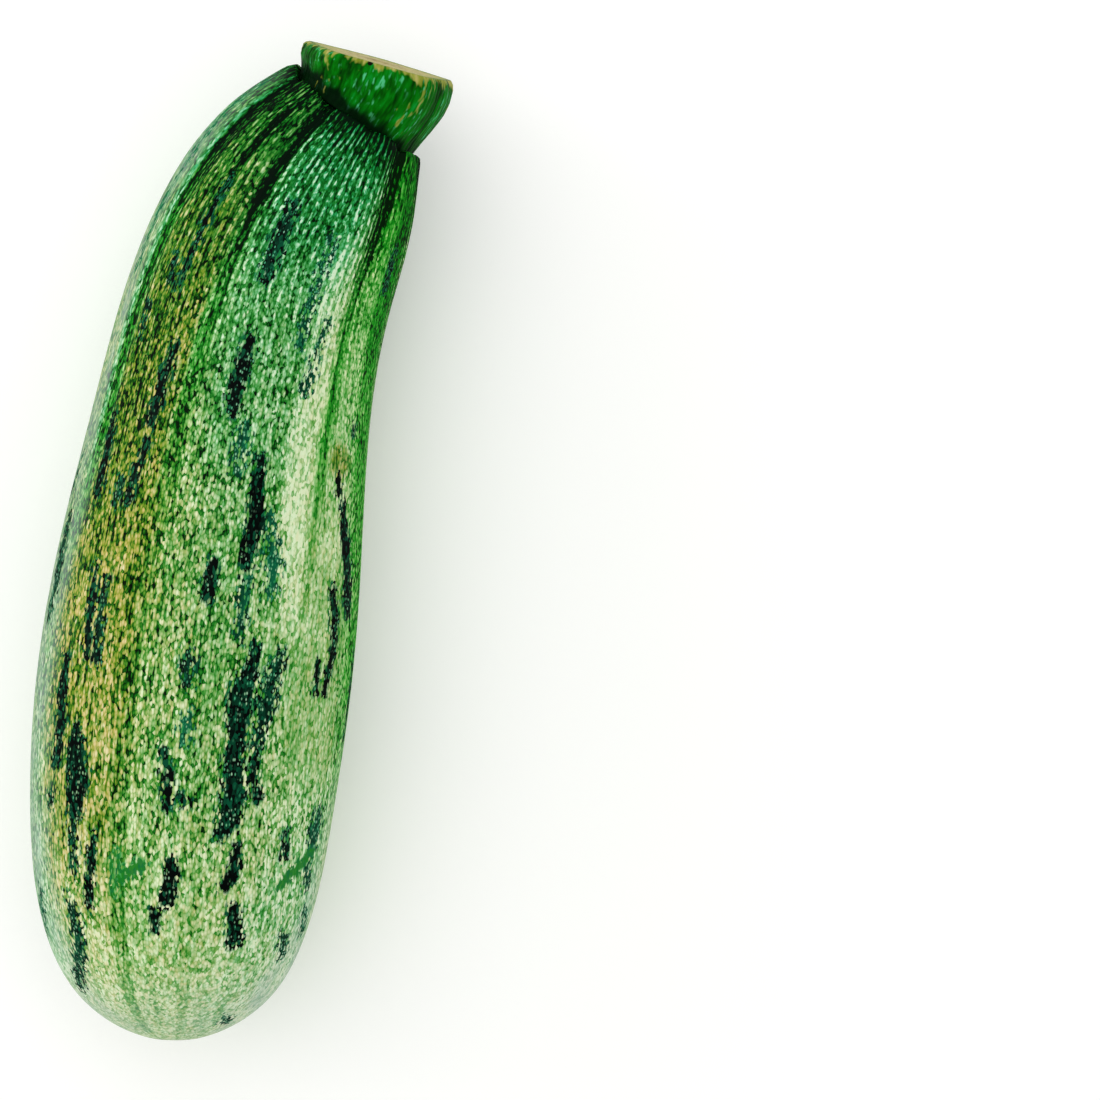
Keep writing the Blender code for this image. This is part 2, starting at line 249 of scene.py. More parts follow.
# The ink-dark streaks: (ink, ((mm along, degrees, half width in mm), ...))
# Ink 1 is blue-black, about a half is teal, and under a third is a plain green graze.
STREAKS = (
    (0.9, ((170, 6, 0.9), (160, 6.5, 1.4), (153.5, 7, 1))),
    (1, ((140, 7.5, 0.7), (133, 7, 1.4), (128, 6.5, 1.5), (123.5, 7.5, 0.5))),
    (0.6, ((122, 12, 0.4), (117, 12.5, 1), (113.5, 12, 0.8))),
    (1, ((116.5, 20.5, 0.8), (111, 20.5, 1), (104, 22, 1.35), (98, 21, 1.2), (95.5, 21, 1.1))),
    (0.9, ((105, 24, 0.9), (102, 26.5, 0.6))),
    (0.55, ((106, 27.5, 0.3), (101, 29, 0.9), (96.5, 31, 1.2), (91, 31.5, 0.5))),
    (0.7, ((93, 22, 0.6), (86, 21.5, 0.8), (82.5, 21.5, 0.5))),
    (1, ((95, 8.5, 0.8), (91, 8, 1.2), (88.5, 8, 0.9))),
    (0.89, ((81, 28, 0.7), (76, 27.5, 1.3), (72, 25, 2.5), (66, 24.5, 2.2), (60, 24, 1.7),
           (53, 25.5, 2.4), (48, 24, 2), (45, 21.5, 0.9))),
    (0.8, ((80, 39, 0.6), (76, 36.5, 1.4), (70, 35, 1.6), (65, 33, 1), (62, 33, 0.6))),
    (1, ((60, 32.5, 0.6), (56, 32, 0.8))),
    (1, ((54, 34, 0.9), (52.3, 35, 1))),
    (1, ((43, 28, 0.8), (38, 27.5, 1.2), (35.5, 24, 1))),
    (1, ((31, 28.5, 0.9), (27.5, 30, 1.3), (25, 31, 1.7))),
    (1, ((39.5, 4, 1.1), (36, 4, 1.3), (32, 2.5, 1.2))),
    (1, ((30, -2, 0.8), (26.5, -1.5, 0.5))),
    (0.95, ((60.5, -1.5, 0.6), (55, 0.5, 0.8), (50, 1.5, 0.5))),
    (0.9, ((52.3, 5, 0.6), (51, 8, 0.6))),
    (0.8, ((78, 4, 0.7), (73.5, 4.5, 0.8))),
    (0.5, ((66.5, 6, 0.6), (63.5, 5, 0.7))),
    (0.9, ((92, -36.5, 0.7), (84, -36, 0.9), (76.5, -35, 0.9))),
    (0.85, ((90, -31, 0.5), (81, -31.5, 0.9), (75, -30.5, 0.7))),
    (0.95, ((74.5, -45, 0.9), (68, -45.5, 1.4), (60, -44.5, 1.3), (56, -46.5, 1.1))),
    (0.93, ((62.5, -37, 0.8), (59, -35.5, 2.2), (53, -34.5, 2.3), (47.5, -35, 1.7))),
    (0.8, ((47, -36, 1), (42, -36, 0.8), (36.5, -35.5, 0.6))),
    (0.75, ((31, -40, 0.6), (26, -38, 1.3), (21, -40, 1.5), (17, -45, 1.3), (13, -52, 0.9))),
    (1, ((43.5, -26.5, 0.6), (38, -27.5, 0.8), (30.5, -29.5, 0.7))),
    (0.9, ((49.3, -49.5, 0.8), (48.5, -48, 0.8))),
    (1, ((121.5, -46, 0.6), (115, -45, 1.1), (108, -45, 1.2), (105, -46, 0.8))),
    (1, ((135.5, -20.5, 0.5), (129, -23, 1), (120, -24, 0.9))),
    (0.95, ((116.5, -24, 0.5), (110, -27, 0.7), (105, -28, 0.8))),
    (0.8, ((109, -32.5, 0.3), (104.5, -34, 0.4))),
    (0.95, ((153, -36.5, 0.2), (149, -34.5, 0.5), (147, -33, 0.4))),
    (0.95, ((169, -28, 0.3), (158, -27.5, 0.45), (146.5, -28, 0.3))),
    (0.8, ((142.5, -42, 0.4), (136.5, -42, 0.4))),
    (1, ((116.5, 59, 0.6), (112.5, 60, 0.7))),
    (1, ((111, 63, 0.9), (104, 66, 1.4), (98, 69.5, 1.5), (92, 71.5, 1.6), (89, 72, 1))),
    (1, ((94, 60.5, 0.6), (88, 63, 1), (83, 64.5, 1), (79, 63, 0.9), (73, 61.5, 0.6))),
    (0.95, ((78.5, 56.5, 0.7), (73.5, 57, 0.7))),
    (0.9, ((127.5, 67, 0.5), (125.5, 67, 0.5))),
    (0.9, ((172, 71, 0.8), (162, 73, 1))),
    (0.65, ((168, 29.5, 0.3), (155, 29, 0.5), (141.5, 28.5, 0.4))),
    (0.65, ((148.5, 39, 0.3), (141, 37.5, 0.5), (132, 35, 0.4))),
    (0.85, ((45.5, 49, 0.6), (41, 50, 0.8))),
    (0.66, ((49, 67, 1), (45, 67, 2.1), (43, 66, 1.5))),
    (0.66, ((38.5, 64, 0.8), (34.5, 66, 1))),
    (0.6, ((28.5, 70, 0.8), (25, 74, 1.1))),
    (0.68, ((24, 56, 0.8), (20.8, 60, 0.9))),
    (0.7, ((7.5, 40, 0.5), (6.3, 47, 0.4))),
    (0.6, ((31, -62, 0.5), (27.5, -66, 1), (22.5, -70, 1))),
    (0.42, ((188, -68, 0), (178, -67, 0.35), (168, -64, 0))),
    (0.42, ((166, -66, 0), (157, -65, 0.35), (148, -64, 0))),
    (0.75, ((101, -66, 0.8), (95, -66, 1.6), (88, -64, 1.5), (82, -65, 0.7))),
    # Two green grazes: one across the grain, and one of two strokes.
    (0.25, ((34.7, 48, 0.7), (37, 55, 1.1), (39.5, 62, 1), (41.5, 66, 0.9))),
    (0.25, ((36.3, -16, 0.7), (38.8, -7.5, 1.1))),
    (0.25, ((41, -17.5, 0.3), (33.5, -17.5, 0.5))),
)
# How far cells push a streak's edge in and out, in mm, by its ink: teal ones break up into cells.
BREAK_UP = ((0.25, 1.4), (0.5, 3.2), (0.7, 2.6), (1.0, 1.3))
# What lies further outside every streak than this many mm counts as this far.
STREAK_REACH = 3.0
# Round the blossom end a degree counts as it would at this radius.
LEAST_STREAK_RADIUS = 6.0
# Streaks of the sides that face down or away, drawn at random in these ranges.
HIDDEN_STREAKS = 44
HIDDEN_SEED = 7
HIDDEN_ALONG = (18.0, 165.0)
HIDDEN_ROUND = (84.0, 290.0)
HIDDEN_LENGTH = (4.0, 22.0)
HIDDEN_HALF_WIDTH = (0.6, 1.9)
HIDDEN_LEAN = 2.0
HIDDEN_INK = (0.7, 1.0)

# A mustard patch where the skin was rubbed: (mm along, degrees, radius in mm), the share of the
# radius within which it is full, and its pigment.
RUBBED_PATCH = (119.5, 59.0, 5.4)
RUBBED_FULL = 0.3
RUBBED_PIGMENT = 0.42

# Camera and light

# The camera looks straight down, turned so that the fruit leans to the right by this much.
CAMERA_AT = (64.0, 9.7, 580.0)
CAMERA_ROLL = math.radians(11.6)
CAMERA_LENS = 90.0
CAMERA_SENSOR = 36.0
# The floor lies this much under the part, so that the two surfaces don't meet. In metres it
# reaches this far each way.
FLOOR_DROP = 0.05
FLOOR_REACH = 3.0


def smooth_step(low, high, value):
    """0 below low, 1 above high, and an S curve between."""
    t = np.clip((value - low) / (high - low), 0.0, 1.0)
    return t * t * (3.0 - 2.0 * t)


def unit(vectors):
    """Vectors brought to length 1."""
    return vectors / np.linalg.norm(vectors, axis=-1, keepdims=True)


def smooth_curve(points, steps):
    """That many points along the uniform cubic B-spline whose corners are the given points."""
    points = np.asarray(points, float)
    t = np.linspace(0, len(points) - 3, steps)
    i = np.clip(t.astype(int), 0, len(points) - 4)
    f = (t - i)[:, None]
    g = 1 - f
    a, b, c, d = (points[i + k] for k in range(4))
    return (g**3 * a + (3 * f**3 - 6 * f**2 + 4) * b + (3 * g**3 - 6 * g**2 + 4) * c + f**3 * d) / 6


def distances(line):
    """How far along a line of points each of them lies."""
    return np.r_[0.0, np.cumsum(np.linalg.norm(np.diff(line, axis=0), axis=1))]


def values_at(at, gone, table):
    """The rows of a table, whose distances are gone, at other distances in between."""
    return np.stack([np.interp(at, gone, column) for column in table.T], axis=-1)


def spread_evenly(line, count):
    """That many points at equal distances along a line of points."""
    gone = distances(line)
    return values_at(np.linspace(0.0, gone[-1], count), gone, line)


def wrapped(degrees):
    """Degrees brought into -180 to 180."""
    return (degrees + 180.0) % 360.0 - 180.0


def spine_frames(along):
    """Centre, direction, right and up of the middle line at these distances along it."""
    line = smooth_curve(SPINE, SPINE_STEPS)
    gone = distances(line)
    slope = unit(np.gradient(line, gone, axis=0))
    ahead = unit(values_at(along, gone, slope))
    right = unit(np.cross(ahead, (0.0, 0.0, 1.0)))
    return values_at(along, gone, line), ahead, right, np.cross(right, ahead)


def grid(rows, sides):
    """Row number and angle of each vertex of a closed surface: a pole, the rings, a pole."""
    ring, side = np.divmod(np.arange((rows - 2) * sides), sides)
    row = np.r_[0, ring + 1, rows - 1]
    angle = np.r_[0.0, side * (360.0 / sides), 0.0]
    return row, wrapped(angle)


def corner_places(*corners):
    """Map places of many faces, one after another, from (across, up) of each of their corners."""
    return np.stack([np.stack(np.broadcast_arrays(*c), axis=-1) for c in corners], axis=-2).reshape(-1, 2)


def grid_faces(rows, sides):
    """Corner numbers and map places of that surface's faces: fans at the poles, quads between.

    On the map a face's place across is its side number, and its place up is its row number,
    both as shares, so the map is the surface cut along its underside and laid flat."""
    side = np.arange(sides)
    after = (side + 1) % sides
    last = (rows - 2) * sides + 1
    first_fan = np.stack([np.zeros(sides, int), 1 + after, 1 + side], axis=1)
    last_fan = np.stack([last - sides + side, last - sides + after, np.full(sides, last)], axis=1)
    start = 1 + np.arange(rows - 3)[:, None] * sides
    quads = np.stack([start + side, start + after, start + sides + after, start + sides + side], axis=2)
    faces = first_fan.tolist() + quads.reshape(-1, 4).tolist() + last_fan.tolist()
    across = (side + sides // 2) % sides
    left, middle, right = across / sides, (across + 0.5) / sides, (across + 1) / sides
    level = np.arange(rows) / (rows - 1)
    low, high = level[1:-2, None], level[2:-1, None]
    places = np.concatenate([
        corner_places((middle, 0.0), (right, level[1]), (left, level[1])),
        corner_places((left, low), (right, low), (right, high), (left, high)),
        corner_places((left, level[-2]), (right, level[-2]), (middle, 1.0)),
    ])
    return faces, places


def add_piece(name, points, rows, sides, attributes, materials):
    """Makes a closed surface of points in millimetres, with its bake map and its attributes."""
    mesh = bpy.data.meshes.new(name)
    faces, places = grid_faces(rows, sides)
    mesh.from_pydata((points * MM).tolist(), [], faces)
    mesh.uv_layers.new(name="OFBake").data.foreach_set("uv", places.astype(np.float32).ravel())
    for label, values in attributes.items():
        kind, field = ("FLOAT_VECTOR", "vector") if values.ndim == 2 else ("FLOAT", "value")
        layer = mesh.attributes.new(label, kind, "POINT")
        layer.data.foreach_set(field, values.astype(np.float32).ravel())
    for material in materials:
        mesh.materials.append(material)
    mesh.shade_smooth()
    mesh.update()
    piece = bpy.data.objects.new(name, mesh)
    bpy.context.scene.collection.objects.link(piece)
    return piece


# The fruit

def fruit_outline():
    """Rows of (distance along, radius), evenly spaced, the outward normal there and the relief."""
    outer = spread_evenly(smooth_curve(OUTLINE, OUTLINE_STEPS), FRUIT_ROWS - len(SEAT))
    slope = unit(np.gradient(outer, axis=0))
    normal = np.stack([-slope[:, 1], slope[:, 0]], axis=1)
    relief = smooth_step(0.0, RELIEF_STARTS, outer[:, 0])
    places = np.vstack([outer, SEAT])
    normal = np.vstack([normal, np.zeros((len(SEAT), 2))])
    return places[:, 0], places[:, 1], normal, np.r_[relief, np.zeros(len(SEAT))]


def groove_share(along, angle):
    """Bell-shaped valleys at the groove angles, 1 at the middle of the deepest."""
    share = np.zeros_like(angle)
    for degrees, depth in GROOVES:
        share += depth * np.exp(-((wrapped(angle - degrees) / GROOVE_HALF_WIDTH) ** 2))
    return share


def thread_drift(along, turn):
    """How far the threads wander round the fruit, in radians of their own wave."""
    wide = 2.4 * np.sin(3 * turn + along / 21.0) + 1.5 * np.sin(7 * turn - along / 13.0)
    return wide + 0.8 * np.sin(along / 4.7)


def fruit_height(along, angle):
    """Relief of the skin along its normal, in mm.

    Slow swellings go twice and three times round. The grooves cut in, deeply at the neck.
    Between them threads of skin stand up side by side near the neck, and waves of unequal
    lengths, multiplied, dimple the whole skin."""
    turn = np.radians(angle)
    first, second = SWELL_TURN_LENGTHS
    swell = SWELL * (np.sin(2 * turn + along / first) + np.sin(3 * turn - along / second))
    neck = smooth_step(*GROOVE_FADE, along) ** 2
    depth = GROOVE_DEPTH_BODY + (GROOVE_DEPTH_NECK - GROOVE_DEPTH_BODY) * neck
    threads = 0.5 + 0.5 * np.cos(THREADS * turn + thread_drift(along, turn))
    threads *= smooth_step(*THREAD_FADE, along)
    dimples = np.sin(17 * turn + along / 2.9) * np.sin(along / 2.3 - 11 * turn)
    dimples += np.sin(23 * turn - along / 4.1) * np.sin(along / 3.7 + 5 * turn)
    fine = THREAD_DEPTH * threads + DIMPLE_DEPTH * (0.5 + 0.25 * dimples)
    return swell - depth * groove_share(along, angle) - fine


def paint_band(values, along, angle, rows):
    """Paints one band over a channel: full in the middle of its width, with soft edges."""
    rows = [row if len(row) == 5 else (*row, 1) for row in sorted(rows)]
    mm, degrees, half, value, share = np.array(rows, float).T
    centre = np.interp(along, mm, degrees)
    across = np.abs(wrapped(angle - centre)) / np.interp(along, mm, half)
    weight = (1 - smooth_step(*BAND_EDGE, across)) * np.interp(along, mm, share)
    fade_in = smooth_step(mm[0] - BAND_RUN_OUT, mm[0], along)
    fade_out = 1 - smooth_step(mm[-1], mm[-1] + BAND_RUN_OUT, along)
    weight *= fade_in * fade_out
    return values + weight * (np.interp(along, mm, value) - values)


def hidden_streaks():
    """Streaks like the others for the far sides, each a line of three places with a soft bend."""
    draw = np.random.default_rng(HIDDEN_SEED)
    streaks = []
    for _ in range(HIDDEN_STREAKS):
        middle, degrees = draw.uniform(*HIDDEN_ALONG), draw.uniform(*HIDDEN_ROUND)
        length, half = draw.uniform(*HIDDEN_LENGTH), draw.uniform(*HIDDEN_HALF_WIDTH)
        lean, ink = draw.normal(0.0, HIDDEN_LEAN), draw.uniform(*HIDDEN_INK)
        upper = (middle + length / 2, degrees - lean, half * 0.5)
        lower = (middle - length / 2, degrees + lean * 1.4, half * 0.6)
        streaks.append((ink, (upper, (middle, degrees, half), lower)))
    return tuple(streaks)


def streak_fields(along, angle, radius):
    """How far inside the nearest streak each vertex is, in mm, and that streak's ink.

    A streak is a row of capsules: inside is its half width there, less the distance to its line,
    with the angle taken as a length on the skin."""
    inside = np.full(along.shape, -STREAK_REACH)
    ink = np.zeros(along.shape)
    round_mm = np.radians(1.0) * np.maximum(radius, LEAST_STREAK_RADIUS)
    for strength, line in STREAKS + hidden_streaks():
        for (mm_a, deg_a, half_a), (mm_b, deg_b, half_b) in zip(line, line[1:]):
            x, y = wrapped(angle - deg_a) * round_mm, along - mm_a
            dx, dy = (deg_b - deg_a) * round_mm, mm_b - mm_a
            t = np.clip((x * dx + y * dy) / (dx * dx + dy * dy), 0.0, 1.0)
            depth = half_a + (half_b - half_a) * t - np.hypot(x - t * dx, y - t * dy)
            ink = np.where(depth > inside, strength, ink)
            inside = np.maximum(inside, depth)
    return inside, ink


def fruit_channels(along, angle, radius):
    """The skin's attributes at each vertex, from the tables above."""
    turn = np.radians(angle)
    # Painted shade in the deep grooves near the stem, added to the pigment.
    groove_shade = GROOVE_SHADE * groove_share(along, angle) ** 2 * smooth_step(*GROOVE_SHADE_FADE, along)
    # Where no band tints the skin, its tints drift slowly round the fruit and along it.
    channels = {
        "pigment": np.interp(along, *np.transpose(PIGMENT_ALONG)) + groove_shade,
        "golden": 0.20 + 0.15 * np.sin(2 * turn + along / 60.0),
        "teal": 0.10 + 0.08 * np.sin(3 * turn - along / 50.0),
        "vivid": 0.12 + 0.10 * np.cos(2 * turn - along / 70.0),
        # Painted sheen over the blossom end, for the white surround reflected there.
        "painted_sheen": 0.25 * (1 - smooth_step(*SHEEN_FADE, along)),
        "speckle": np.interp(along, *np.transpose(SPECKLE_ALONG)),
        "neck": smooth_step(*NECK_FADE, along),
    }
    for channel, rows in BANDS:
        channels[channel] = paint_band(channels[channel], along, angle, rows)
    # Where the skin is golden, the other tints give way.
    channels["teal"] = channels["teal"] * (1 - 0.9 * channels["golden"])
    channels["vivid"] = channels["vivid"] * (1 - 0.7 * channels["golden"])
    mm, degrees, reach = RUBBED_PATCH
    away = np.hypot(along - mm, wrapped(angle - degrees) * np.radians(1.0) * radius)
    rubbed = 1 - smooth_step(RUBBED_FULL * reach, reach, away)
    channels["golden"] = channels["golden"] + rubbed * (1.0 - channels["golden"])
    channels["vivid"] = channels["vivid"] * (1 - rubbed)
    channels["pigment"] = channels["pigment"] + rubbed * (RUBBED_PIGMENT - channels["pigment"])
    channels["inside"], channels["ink"] = streak_fields(along, angle, radius)
    channels["break_up"] = np.interp(channels["ink"], *np.transpose(BREAK_UP))
    channels["drift"] = thread_drift(along, turn)
    # The fruit straightened out, for patterns that follow it: round with the belly's radius
    # from the belly up, so that the grain gathers at the neck as the skin does.
    drum = np.where(along < BELLY_AT, np.minimum(radius, BELLY_RADIUS), BELLY_RADIUS)
    channels["straight"] = np.stack([drum * np.sin(turn), drum * np.cos(turn), along], axis=1)
    return channels


def add_fruit(skin):
    """The outline carried along the middle line, with its relief, and flat where it rests."""
    row, angle = grid(FRUIT_ROWS, FRUIT_SIDES)
    row_along, row_radius, row_normal, row_relief = fruit_outline()
    along, radius, normal = row_along[row], row_radius[row], row_normal[row]
    height = row_relief[row] * fruit_height(along, angle)
    blossom_end = along < SCAR_RADIUS
    scar = blossom_end * (1 - smooth_step(SCAR_FLAT_SHARE, 1.0, radius / SCAR_RADIUS))
    forward = normal[:, 0] * height + SCAR_DEPTH * scar
    outward = radius + normal[:, 1] * height
    centre, ahead, right, up = spine_frames(along)
    turn = np.radians(angle)[:, None]
    away = np.cos(turn) * up + np.sin(turn) * right
    points = centre + forward[:, None] * ahead + outward[:, None] * away
    z, soft = points[:, 2], REST_SOFTNESS
    points[:, 2] = np.where(z < -soft, 0.0, np.where(z > soft, z, (z + soft) ** 2 / (4 * soft)))
    channels = fruit_channels(along, angle, radius)
    return add_piece("zucchini_skin", points, FRUIT_ROWS, FRUIT_SIDES, channels, [skin])


# The stem

def stem_rows():
    """Height and reach, as shares, of each row: the foot, the side, and the cut face inwards.

    The rows of the side lie closer together towards the cut."""
    side = np.linspace(0.0, 1.0, STEM_SIDE_ROWS) ** 0.85
    inward = np.linspace(1.0, 0.0, STEM_CUT_ROWS + 1)[1:]
    height = np.r_[0.0, 0.0, side, np.ones(STEM_CUT_ROWS)]
    reach = np.r_[0.0, 0.5, np.ones(STEM_SIDE_ROWS), inward]
    return height, reach


def add_stem(rind, cut):
    """The stem's outline carried up from the seat, five-ridged, with fibres and a rough cut."""
    row_height, row_reach = stem_rows()
    rows = len(row_height)
    row, angle = grid(rows, STEM_SIDES)
    height, reach, turn = row_height[row], row_reach[row], np.radians(angle)
    foot, ahead, right, up = (v[0] for v in spine_frames(np.array([STEM_FOOT_AT])))
    bend, lift = STEM_TURN * height[:, None], STEM_LIFT * height[:, None]
    level = ahead * np.cos(bend) - right * np.sin(bend)
    lean_right = right * np.cos(bend) + ahead * np.sin(bend)
    lean_ahead = level * np.cos(lift) + up * np.sin(lift)
    lean_up = up * np.cos(lift) - level * np.sin(lift)
    ridge = STEM_RIDGE_SHARES[0] + (STEM_RIDGE_SHARES[1] - STEM_RIDGE_SHARES[0]) * height
    around = STEM_RIDGES * (turn - STEM_RIDGE_ANGLE)
    lobes = 1 + ridge * (np.cos(around) + STEM_FLATTENING * np.cos(2 * around))
    on_side = (reach > 0.999) * smooth_step(0.0, 0.1, height) * (1 - smooth_step(0.93, 1.0, height))
    drift = 1.3 * np.sin(4 * turn + 5 * height) + 0.8 * np.sin(9 * turn - 4 * height)
    fibres = 0.5 + 0.5 * np.cos(FIBRES * turn + drift)
    fibres += 0.5 + 0.5 * np.cos(23 * turn - 2 * drift)
    outline, radii = np.transpose(STEM_OUTLINE)
    outward = reach * (np.interp(height, outline, radii) * lobes - FIBRE_DEPTH * on_side * fibres)
    on_cut = height > 0.999
    pith = on_cut * (1 - smooth_step(PITH_FLAT_SHARE, 1.0, outward / PITH_RADIUS))
    ropes = on_cut * smooth_step(0.25, 0.45, reach) * (1 - smooth_step(0.85, 0.97, reach))
    rough = 0.5 + 0.25 * (np.sin(31 * turn + 9 * reach) + np.sin(22 * reach * np.cos(turn) + 17 * reach))
    sunken = PITH_DEPTH * pith + CUT_ROUGHNESS * ropes * rough
    middle = foot + STEM_LENGTH * height[:, None] * unit(ahead + lean_ahead) - sunken[:, None] * lean_ahead
    away = np.cos(turn)[:, None] * lean_up + np.sin(turn)[:, None] * lean_right
    points = middle + outward[:, None] * away
    ridged = on_side * np.clip(0.5 + 0.5 * np.cos(around), 0.0, 1.0) ** 3
    round_stem = STEM_RADIUS * np.stack([np.sin(turn), np.cos(turn)], axis=1)
    attributes = {
        "height": height,
        "reach": reach,
        "ridge": ridged,
        "straight": np.c_[round_stem, STEM_LENGTH * height],
    }
    piece = add_piece("zucchini_stem", points, rows, STEM_SIDES, attributes, [rind, cut])
    first_cut_face = STEM_SIDES * (STEM_SIDE_ROWS + 1)
    look = np.zeros(len(piece.data.polygons), np.int32)
    look[first_cut_face:] = 1
    piece.data.polygons.foreach_set("material_index", look)
    piece.data.update()
    return piece


# Materials

# The settings of a node that mixes two colours, of one that multiplies the first number by the
# second and adds the third, and of one that maps a range with soft ends. The inputs of the last
# are the value, the range it comes from and the one it goes to, 0 to 1 where none is given.
COLOUR_MIX = {"out": "Result", "data_type": "RGBA"}
MULTIPLY_ADD = {"operation": "MULTIPLY_ADD"}
SMOOTH = {"interpolation_type": "SMOOTHSTEP"}


def linear(hex_color):
    """The linear colour of an sRGB hex value, with full alpha."""
    srgb = np.array([int(hex_color[k:k + 2], 16) for k in (1, 3, 5)]) / 255.0
    rgb = np.where(srgb <= 0.04045, srgb / 12.92, ((srgb + 0.055) / 1.055) ** 2.4)
    return (*rgb.tolist(), 1.0)


def new_material(name):
    """A material and its surface shader."""
    material = bpy.data.materials.new(name)
    material.use_nodes = True
    return material, material.node_tree.nodes["Principled BSDF"]


def wire(material, kind, inputs=(), out=0, **settings):
    """Adds a shader node with these settings and returns one output of it.

    Its inputs, by place in a tuple or by name in a dictionary, are set or linked. Stops, for a
    colour ramp, are places with their hex colours."""
    tree = material.node_tree
    node = tree.nodes.new("ShaderNode" + kind)
    stops = settings.pop("stops", ())
    for label, value in settings.items():
        setattr(node, label, value)
    if stops:
        ramp = node.color_ramp.elements
        ramp[0].position, ramp[1].position = stops[0][0], stops[-1][0]
        for place, _ in stops[1:-1]:
            ramp.new(place)
        for element, (_, colour) in zip(ramp, stops):
            element.color = linear(colour)
    for label, value in inputs.items() if isinstance(inputs, dict) else enumerate(inputs):
        if isinstance(value, bpy.types.NodeSocket):
            tree.links.new(value, node.inputs[label])
        else:
            node.inputs[label].default_value = value
    return node.outputs[out]


def grain(material, straight, across_mm, along_mm, detail=1.0):
    """Noise whose patches are that wide round the piece and that long along it."""
    scale = (1 / across_mm, 1 / across_mm, 1 / along_mm)
    place = wire(material, "Mapping", {"Vector": straight, "Scale": scale})
    return wire(material, "TexNoise", {"Vector": place, "Scale": 1.0, "Detail": detail, "Roughness": 0.55})


# Greens by pigment, from cream to blue-black, for the four tints of the skin.
PLAIN_GREENS = ((0.0, "#dfecc6"), (0.20, "#b3cc96"), (0.36, "#8fb774"), (0.44, "#78a95c"),
                (0.54, "#5a9c44"), (0.68, "#278725"), (0.84, "#086012"), (1.0, "#010e05"))
GOLDEN_GREENS = ((0.0, "#dcca98"), (0.20, "#c0b068"), (0.32, "#a19f46"), (0.44, "#7b9028"),
                 (0.56, "#4a7a12"), (0.70, "#175a08"), (0.86, "#062a04"), (1.0, "#020701"))
TEAL_GREENS = ((0.0, "#ccecd2"), (0.20, "#78cba2"), (0.34, "#30b07a"), (0.46, "#0a9b5c"),
               (0.58, "#037e3a"), (0.72, "#025f20"), (0.86, "#02400d"), (1.0, "#011406"))
VIVID_GREENS = ((0.0, "#c6e098"), (0.20, "#93c873"), (0.36, "#5cb048"), (0.52, "#289a20"),
                (0.66, "#078010"), (0.80, "#025f08"), (0.90, "#023a03"), (1.0, "#011a02"))
# Inks of the streaks, from a plain green graze to blue-black, and of their fringes.
INKS = ((0.0, "#1f7f12"), (0.28, "#0b6f12"), (0.5, "#085e3c"), (0.7, "#033a24"), (0.9, "#000a06"),
        (1.0, "#000302"))
FRINGE_INKS = ((0.0, "#4fa83c"), (0.5, "#2a9462"), (1.0, "#08683e"))
TEAL_CELL = "#075a3a"
PORE = "#4fae88"
PAINTED_SHEEN_GREY = "#b0c0b8"
CORK = ((0.1, "#5f4629"), (0.35, "#947548"), (0.6, "#c7ad7e"))
# A cell of the skin, in mm.
CELL_WIDTH = 0.5
CELL_LENGTH = 0.95


